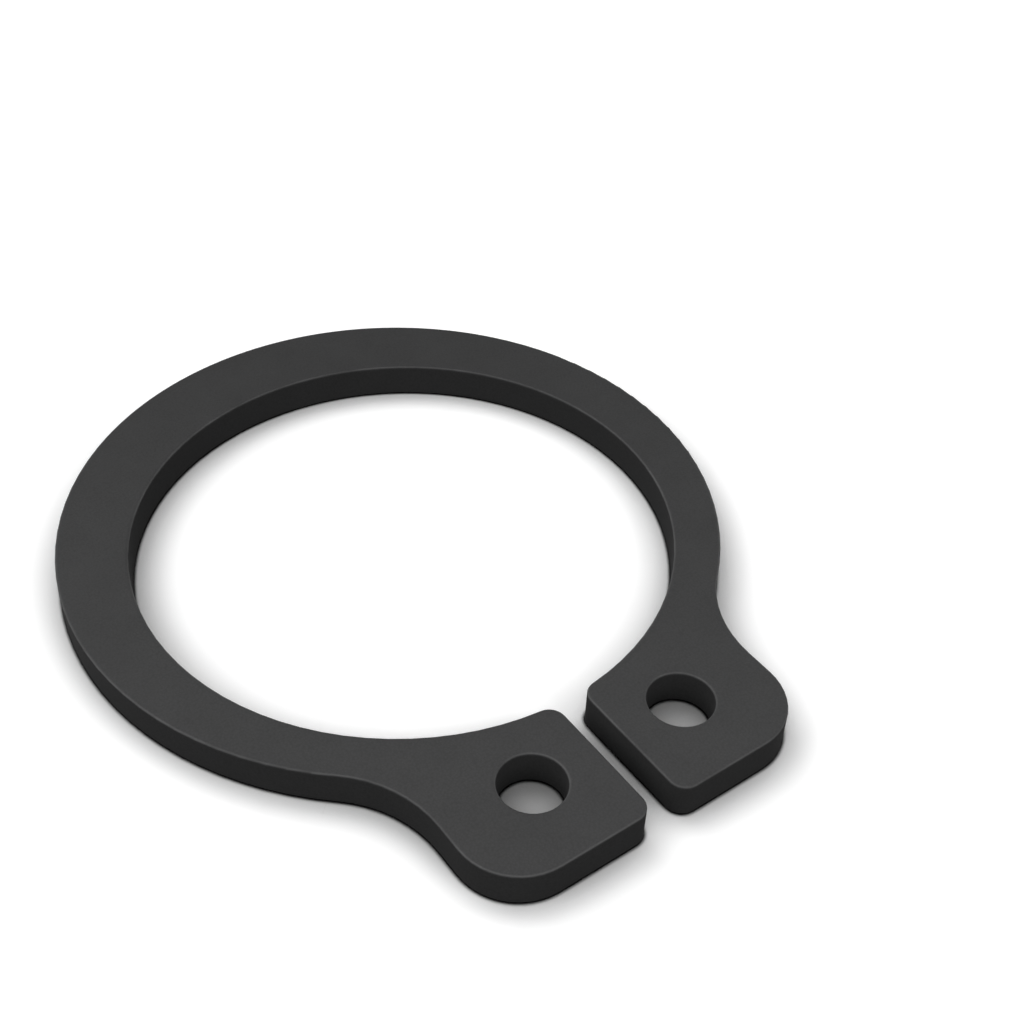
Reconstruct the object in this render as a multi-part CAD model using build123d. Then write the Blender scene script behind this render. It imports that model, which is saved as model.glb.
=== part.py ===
"""External retaining ring for a 16 mm shaft, stamped in one piece from spring steel.

All sizes are in millimetres, with the ring in its free state. It lies flat with its underside
on z = 0. The origin is the centre of the bore, and the gap between the two lugs is on the
-Y side. The ring is the same on both sides of the plane x = 0.
"""

import math
import os

from build123d import *

# Band: a round bore inside an outer circle that is shifted away from the gap, so that the band
# is widest at the back and thins towards the lugs, and bends evenly when the ring is opened.
bore_dia = 14.7
back_width = 2.25
front_width = 1.05
thickness = 1.0

# Lugs: their inner sides are parallel across the gap, and their ends are square to it.
gap_width = 0.8
lug_width = 4.3
lug_height = 3.8

# Corners of the outline: the root where the band flows into a lug, the lug's outer shoulder,
# its tip beside the gap, and its heel between the gap and the bore. The shoulder is held small
# enough to leave a short straight flank after the root.
root_radius = 3.3
shoulder_radius = 1.65
tip_radius = 0.45
heel_radius = 0.45
least_flank = 0.1

# Plier holes, placed from the gap and from the lug's end
hole_dia = 1.7
hole_from_gap = 1.85
hole_from_end = 2.2

# Edges of the sheet: rounded on the upper face, where the punch drew the steel in, and broken by
# tumbling on the underside, where it came through
upper_edge_radius = 0.05
lower_edge_break = 0.03

bore_radius = bore_dia / 2
outer_radius = bore_radius + (back_width + front_width) / 2
outer_shift = (back_width - front_width) / 2
lug_end = -(bore_radius + lug_height)
flank_x = gap_width / 2 + lug_width


def root_end():
    """Height at which the root curve, rolling inside the corner of band and lug, meets the flank."""
    reach = outer_radius + root_radius
    across = flank_x + root_radius
    return outer_shift - math.sqrt(reach**2 - across**2)


def band_and_lugs():
    """Outer outline: the shifted circle, and one block for both lugs that flows out of it."""
    flank_room = root_end() - lug_end - least_flank
    with BuildSketch() as outline:
        with Locations((0, outer_shift)):
            Circle(outer_radius)
        with Locations((0, lug_end)):
            Rectangle(2 * flank_x, outer_shift - lug_end, align=(Align.CENTER, Align.MIN))
        roots = outline.vertices().group_by(Axis.Y)[1]
        fillet(roots, root_radius)
        shoulders = outline.vertices().group_by(Axis.Y)[0]
        fillet(shoulders, min(shoulder_radius, flank_room))
    return outline.sketch


def bore_and_gap():
    """Inside of the ring: the round bore, and the parallel gap that leads out between the lugs."""
    with BuildSketch() as opening:
        Circle(bore_radius)
        with Locations((0, lug_end)):
            Rectangle(gap_width, -lug_end, align=(Align.CENTER, Align.MIN))
        heels = opening.vertices().group_by(Axis.Y)[1]
        fillet(heels, heel_radius)
    return opening.sketch


def plier_holes():
    """One round hole in each lug."""
    x = gap_width / 2 + hole_from_gap
    y = lug_end + hole_from_end
    with BuildSketch() as holes:
        with Locations((-x, y), (x, y)):
            Circle(hole_dia / 2)
    return holes.sketch


def ring_outline():
    """Flat shape of the stamping, with the lugs' tips rounded where the gap runs out."""
    with BuildSketch() as outline:
        add(band_and_lugs())
        add(bore_and_gap(), mode=Mode.SUBTRACT)
        tips = outline.vertices().sort_by_distance((0, lug_end))[:2]
        fillet(tips, tip_radius)
        add(plier_holes(), mode=Mode.SUBTRACT)
    return outline.sketch


def retaining_ring():
    """The outline cut through the sheet, with the edges of both faces softened all the way round."""
    with BuildPart() as ring:
        add(ring_outline())
        extrude(amount=thickness)
        upper_face = ring.faces().sort_by(Axis.Z)[-1]
        fillet(upper_face.edges(), upper_edge_radius)
        underside = ring.faces().sort_by(Axis.Z)[0]
        chamfer(underside.edges(), lower_edge_break)
    return ring.part


os.makedirs("parts", exist_ok=True)
export_step(retaining_ring(), "parts/retaining_ring.step")
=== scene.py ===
"""Looks of the retaining ring: phosphated spring steel on a pale studio floor."""

import math

import bpy
from mathutils import Matrix, Vector

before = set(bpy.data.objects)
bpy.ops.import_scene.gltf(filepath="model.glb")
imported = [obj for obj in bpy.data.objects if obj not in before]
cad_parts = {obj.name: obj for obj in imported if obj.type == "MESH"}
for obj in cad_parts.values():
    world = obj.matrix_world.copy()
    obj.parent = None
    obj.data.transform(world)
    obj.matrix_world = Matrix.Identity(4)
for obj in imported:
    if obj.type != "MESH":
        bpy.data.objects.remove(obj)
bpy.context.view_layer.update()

MM = 0.001

# Camera: the point on the floor that it looks at, its direction from there and its roll in degrees,
# its lens, and the distances between which it sees anything
LOOK_AT = Vector((3.493, -0.228, 0)) * MM
CAMERA_AZIMUTH = -37.41
CAMERA_ELEVATION = 41.79
CAMERA_ROLL = 2.47
CAMERA_DISTANCE = 42.73 * MM
LENS = 52.44
SENSOR = 36
CLIP_START = 1 * MM
CLIP_END = 10

# Softboxes, far away: azimuth, elevation and apparent size in degrees, and share of the light that
# a level floor gets. The fill is the weak and even light of the whole sky.
SOFTBOXES = {
    "left": (245, 34, 44, 0.14),
    "high_left": (270, 50, 40, 0.075),
    "back_left": (190, 44, 40, 0.20),
    "back": (150, 60, 30, 0.10),
    "right": (105, 54, 36, 0.095),
    "front_right": (25, 32, 40, 0.12),
    "front": (0, 50, 40, 0.09),
    "front_left": (310, 34, 40, 0.13),
}
FILL = 0.05

# Floor: half its width in metres, how far it lies below the ring, its tone in the picture, where
# open floor is pure white, and the plain grey of the light that it throws back on the ring
FLOOR_HALF = 2.0
FLOOR_DROP = 0.005 * MM
FLOOR_IN_VIEW = 1.27
FLOOR_BOUNCE = 0.15

# Contact shadow, painted into the floor's tone: how near the ring the floor darkens, and how steeply.
# The foot shadow is a thin painted shadow line at the ring's foot, black where less than the first
# share of the sky is open, gone at the second.
CONTACT_REACH = 2.4 * MM
CONTACT_FALLOFF = 1.3
FOOT_SHADOW_REACH = 0.14 * MM
FOOT_SHADOW_DARK = 0.6
FOOT_SHADOW_OPEN = 0.9

# Rays with which a shader feels for the open sky or for an edge nearby
TRACED_SAMPLES = 8

# Phosphate coat: its tone on the faces, painted paler towards the lugs as painted light, and on the
# sheared walls, painted darker partly as painted shade, how dull it is on both, and how little it
# mirrors
LIT_SIDE_DIRECTION = (-0.47, -0.88, 0)
LIT_GRADIENT_SPAN = 9 * MM
FACE_TONE_IN_SHADE = (0.037, 0.037, 0.0373, 1)
FACE_TONE_IN_LIGHT = (0.0535, 0.0535, 0.0538, 1)
SHADED_WALL_TONE = (0.0345, 0.0345, 0.0347, 1)
FACE_ROUGHNESS = 0.34
WALL_ROUGHNESS = 0.9
GLOSS = 0.03

# A surface's levelness is 1 where it lies flat and 0 where it is upright. Below the first value
# here a face turns into a wall, and below the second it is one.
LEAST_OF_FACE = 0.8
MOST_OF_WALL = 0.3

# Rubbed edges: how far from the edge the steel is rounded and rubbed, the levelness over which the
# rubbing sets in from the wall and from the face, and how pale and bare the steel is there. The pale
# tone is partly wear and partly a painted highlight along the edges.
EDGE_REACH = 0.12 * MM
FROM_WALL = (0.15, 0.5)
FROM_FACE = (0.98, 0.8)
RUBBED_AND_HIGHLIGHT_TONE = (0.10, 0.10, 0.101, 1)
RUBBED_METAL = 0.35

# Clouds in the coat: their size and fineness, the range of their noise, and what they change over
# that range, which is the tone, the dullness and the rubbed edges with their painted highlight
CLOUD_SIZE = 1.3 * MM
CLOUD_DETAIL = 5.0
CLOUD_ROUGHNESS = 0.6
CLOUD_RANGE = (0.3, 0.7)
MOTTLE = (0.95, 1.05)
DULLNESS_SHIFT = (-0.03, 0.03)
RUBBING_AND_HIGHLIGHT = (0.3, 0.8)

# Crystals of phosphate: their size, the range of distances from their middles, the tone from
# middle to rim, and their relief
CRYSTAL_SIZE = 0.06 * MM
CRYSTAL_RANGE = (0.0, 0.9)
SPECKLE = (1.07, 0.90)
CRYSTAL_HEIGHT = 0.002 * MM
CRYSTAL_STRENGTH = 0.35

# Upright drag marks of the punch on the walls: their width, how little they change along their
# length, and their relief
STRIATION_SIZE = 0.04 * MM
STRIATION_STRETCH = 0.06
STRIATION_DETAIL = 2.0
STRIATION_ROUGHNESS = 0.5
STRIATION_HEIGHT = 0.003 * MM
STRIATION_STRENGTH = 0.5


def direction(azimuth, elevation):
    """Unit vector towards a place seen from the ring: azimuth 0 is the lugs' side, 90 is +X."""
    a, e = math.radians(azimuth), math.radians(elevation)
    return Vector((math.sin(a) * math.cos(e), -math.cos(a) * math.cos(e), math.sin(e)))


def add_camera():
    """Camera at the photograph's viewing angle."""
    data = bpy.data.cameras.new("camera")
    data.lens = LENS
    data.sensor_width = SENSOR
    data.clip_start = CLIP_START
    data.clip_end = CLIP_END
    camera = bpy.data.objects.new("camera", data)
    bpy.context.scene.collection.objects.link(camera)
    back = direction(CAMERA_AZIMUTH, CAMERA_ELEVATION)
    aim = (-back).to_track_quat("-Z", "Y").to_matrix()
    roll = Matrix.Rotation(math.radians(CAMERA_ROLL), 3, "Z")
    turn = (aim @ roll).to_quaternion()
    camera.matrix_world = Matrix.LocRotScale(LOOK_AT + back * CAMERA_DISTANCE, turn, None)
    bpy.context.scene.camera = camera


def put(tree, kind, inputs=(), **settings):
    """A new node with its settings and inputs. An input that is another node's output is linked."""
    node = tree.nodes.new(kind)
    for name, value in settings.items():
        setattr(node, name, value)
    for key, value in dict(inputs).items():
        if isinstance(value, bpy.types.NodeSocket):
            tree.links.new(value, node.inputs[key])
        else:
            node.inputs[key].default_value = value
    return node


def calculate(tree, operation, first, second=0.0):
    """Result of one arithmetic step on two numbers or outputs."""
    return put(tree, "ShaderNodeMath", {0: first, 1: second}, operation=operation).outputs[0]


def span(tree, value, low, high, to_low=0.0, to_high=1.0):
    """Value carried from the range low to high over to another range, and held at its ends."""
    inputs = {"Value": value, "From Min": low, "From Max": high, "To Min": to_low, "To Max": to_high}
    return put(tree, "ShaderNodeMapRange", inputs).outputs[0]


def blend(tree, amount, first, second):
    """Colour between two colours."""
    inputs = {"Factor": amount, 6: first, 7: second}
    return put(tree, "ShaderNodeMix", inputs, data_type="RGBA").outputs[2]


def noise(tree, place, size, detail, roughness):
    """Soft noise with blobs about as wide as the size."""
    inputs = {"Vector": place, "Scale": 1 / size, "Detail": detail, "Roughness": roughness}
    return put(tree, "ShaderNodeTexNoise", inputs).outputs["Fac"]


def bump(tree, strength, height, texture, normal):
    """Normal tilted by the relief that a texture gives the surface."""
    inputs = {"Strength": strength, "Distance": height, "Height": texture, "Normal": normal}
    return put(tree, "ShaderNodeBump", inputs).outputs[0]


def openness(tree, reach):
    """Share of the sky that nothing nearer than the reach stands in front of."""
    inputs = {"Distance": reach}
    return put(tree, "ShaderNodeAmbientOcclusion", inputs, samples=TRACED_SAMPLES).outputs["AO"]


def levelness(tree, normal):
    """1 where a surface with this normal lies flat, 0 where it is upright."""
    height = put(tree, "ShaderNodeSeparateXYZ", {0: normal}).outputs["Z"]
    return calculate(tree, "ABSOLUTE", height)


def seen_directly(tree):
    """1 for rays that show the background as it looks: camera, glossy and transmission rays."""
    path = put(tree, "ShaderNodeLightPath").outputs
    gloss_or_glass = calculate(tree, "MAXIMUM", path["Is Glossy Ray"], path["Is Transmission Ray"])
    return calculate(tree, "MAXIMUM", path["Is Camera Ray"], gloss_or_glass)


def add_floor():
    """Plain pale floor, which is pure white to the camera where no shadow falls."""
    mesh = bpy.data.meshes.new("floor")
    half = FLOOR_HALF
    corners = [(-half, -half), (half, -half), (half, half), (-half, half)]
    mesh.from_pydata([(x, y, -FLOOR_DROP) for x, y in corners], [], [(0, 1, 2, 3)])
    floor = bpy.data.objects.new("floor", mesh)
    bpy.context.scene.collection.objects.link(floor)
    material = bpy.data.materials.new("floor_white")
    material.use_nodes = True
    tree = material.node_tree
    tree.nodes.clear()
    hidden = calculate(tree, "SUBTRACT", 1.0, openness(tree, CONTACT_REACH))
    contact = calculate(tree, "POWER", hidden, CONTACT_FALLOFF)
    # Painted shadow: a thin black line on the floor at the ring's foot
    foot_shadow = span(tree, openness(tree, FOOT_SHADOW_REACH), FOOT_SHADOW_DARK, FOOT_SHADOW_OPEN)
    tone = calculate(tree, "MULTIPLY", span(tree, contact, 0.0, 1.0, FLOOR_IN_VIEW, 0.0), foot_shadow)
    grey = (FLOOR_BOUNCE, FLOOR_BOUNCE, FLOOR_BOUNCE, 1)
    bounce = put(tree, "ShaderNodeBsdfDiffuse", {"Color": grey}).outputs[0]
    white = put(tree, "ShaderNodeBsdfDiffuse", {"Color": tone}).outputs[0]
    surface = put(tree, "ShaderNodeMixShader", {0: seen_directly(tree), 1: bounce, 2: white}).outputs[0]
    put(tree, "ShaderNodeOutputMaterial", {"Surface": surface})
    mesh.materials.append(material)


def add_world():
    """White where it is seen or mirrored, and an even weak fill on the ring."""
    world = bpy.data.worlds.new("sky")
    world.use_nodes = True
    tree = world.node_tree
    tree.nodes.clear()
    fill = put(tree, "ShaderNodeBackground", {"Strength": FILL}).outputs[0]
    white = put(tree, "ShaderNodeBackground", {"Color": (1, 1, 1, 1), "Strength": 1.0}).outputs[0]
    surface = put(tree, "ShaderNodeMixShader", {0: seen_directly(tree), 1: fill, 2: white}).outputs[0]
    put(tree, "ShaderNodeOutputWorld", {"Surface": surface})
    bpy.context.scene.world = world


def add_softboxes():
    """Wide soft lamps, each as strong as its share of the light that a level white floor gets."""
    for name, (azimuth, elevation, size, share) in SOFTBOXES.items():
        lamp = bpy.data.lights.new(f"softbox_{name}", "SUN")
        lamp.angle = math.radians(size)
        lamp.energy = math.pi * share / math.sin(math.radians(elevation))
        softbox = bpy.data.objects.new(lamp.name, lamp)
        turn = direction(azimuth, elevation).to_track_quat("Z", "Y")
        softbox.matrix_world = turn.to_matrix().to_4x4()
        bpy.context.scene.collection.objects.link(softbox)


def steel_material():
    """Phosphate coat on spring steel: matte crystals with faint clouds, rubbed a little at the edges,
    with painted light: faces paler towards the lugs, walls darker partly as painted shade, and pale
    edges that are partly a painted highlight.
    """
    material = bpy.data.materials.new("phosphated_steel")
    material.use_nodes = True
    tree = material.node_tree
    shader = tree.nodes["Principled BSDF"]
    coordinates = put(tree, "ShaderNodeTexCoord").outputs
    place = coordinates["Object"]
    on_wall = span(tree, levelness(tree, coordinates["Normal"]), LEAST_OF_FACE, MOST_OF_WALL)

    inputs = {"Radius": EDGE_REACH}
    rounded = put(tree, "ShaderNodeBevel", inputs, samples=TRACED_SAMPLES).outputs["Normal"]
    level = levelness(tree, rounded)
    at_edge = calculate(tree, "MULTIPLY", span(tree, level, *FROM_WALL), span(tree, level, *FROM_FACE))

    clouds = noise(tree, place, CLOUD_SIZE, CLOUD_DETAIL, CLOUD_ROUGHNESS)
    inputs = {"Vector": place, "Scale": 1 / CRYSTAL_SIZE}
    crystals = put(tree, "ShaderNodeTexVoronoi", inputs).outputs["Distance"]
    inputs = {0: place, 1: (1, 1, STRIATION_STRETCH)}
    stretched = put(tree, "ShaderNodeVectorMath", inputs, operation="MULTIPLY").outputs[0]
    striations = noise(tree, stretched, STRIATION_SIZE, STRIATION_DETAIL, STRIATION_ROUGHNESS)

    # Painted light: the faces are paler towards the lugs, as if more light fell there
    inputs = {0: place, 1: LIT_SIDE_DIRECTION}
    towards_lit_side = put(tree, "ShaderNodeVectorMath", inputs, operation="DOT_PRODUCT").outputs["Value"]
    painted_lighting = span(tree, towards_lit_side, -LIT_GRADIENT_SPAN, LIT_GRADIENT_SPAN)
    # Painted shade, in part: the upright walls take a darker tone than the faces
    tone = blend(tree, on_wall, blend(tree, painted_lighting, FACE_TONE_IN_SHADE, FACE_TONE_IN_LIGHT), SHADED_WALL_TONE)
    speckle = span(tree, crystals, *CRYSTAL_RANGE, *SPECKLE)
    mottle = calculate(tree, "MULTIPLY", span(tree, clouds, *CLOUD_RANGE, *MOTTLE), speckle)
    inputs = {0: tone, "Scale": mottle}
    mottled = put(tree, "ShaderNodeVectorMath", inputs, operation="SCALE").outputs[0]
    # Partly painted highlight: the rubbed edges are paler, which also stands in for the light line along
    # them
    rubbing_and_highlight = calculate(tree, "MULTIPLY", at_edge, span(tree, clouds, *CLOUD_RANGE, *RUBBING_AND_HIGHLIGHT))
    colour = blend(tree, rubbing_and_highlight, mottled, RUBBED_AND_HIGHLIGHT_TONE)
    roughness = span(tree, on_wall, 0.0, 1.0, FACE_ROUGHNESS, WALL_ROUGHNESS)
    roughness = calculate(tree, "ADD", roughness, span(tree, clouds, *CLOUD_RANGE, *DULLNESS_SHIFT))

    grain = bump(tree, CRYSTAL_STRENGTH, CRYSTAL_HEIGHT, crystals, rounded)
    drag = calculate(tree, "MULTIPLY", striations, on_wall)
    relief = bump(tree, STRIATION_STRENGTH, STRIATION_HEIGHT, drag, grain)

    tree.links.new(colour, shader.inputs["Base Color"])
    tree.links.new(calculate(tree, "MULTIPLY", rubbing_and_highlight, RUBBED_METAL), shader.inputs["Metallic"])
    tree.links.new(roughness, shader.inputs["Roughness"])
    tree.links.new(relief, shader.inputs["Normal"])
    shader.inputs["Specular IOR Level"].default_value = GLOSS
    return material


add_camera()
add_floor()
add_world()
add_softboxes()
steel = steel_material()
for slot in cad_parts["retaining_ring"].material_slots:
    slot.material = steel

bpy.context.scene.view_settings.view_transform = "Standard"
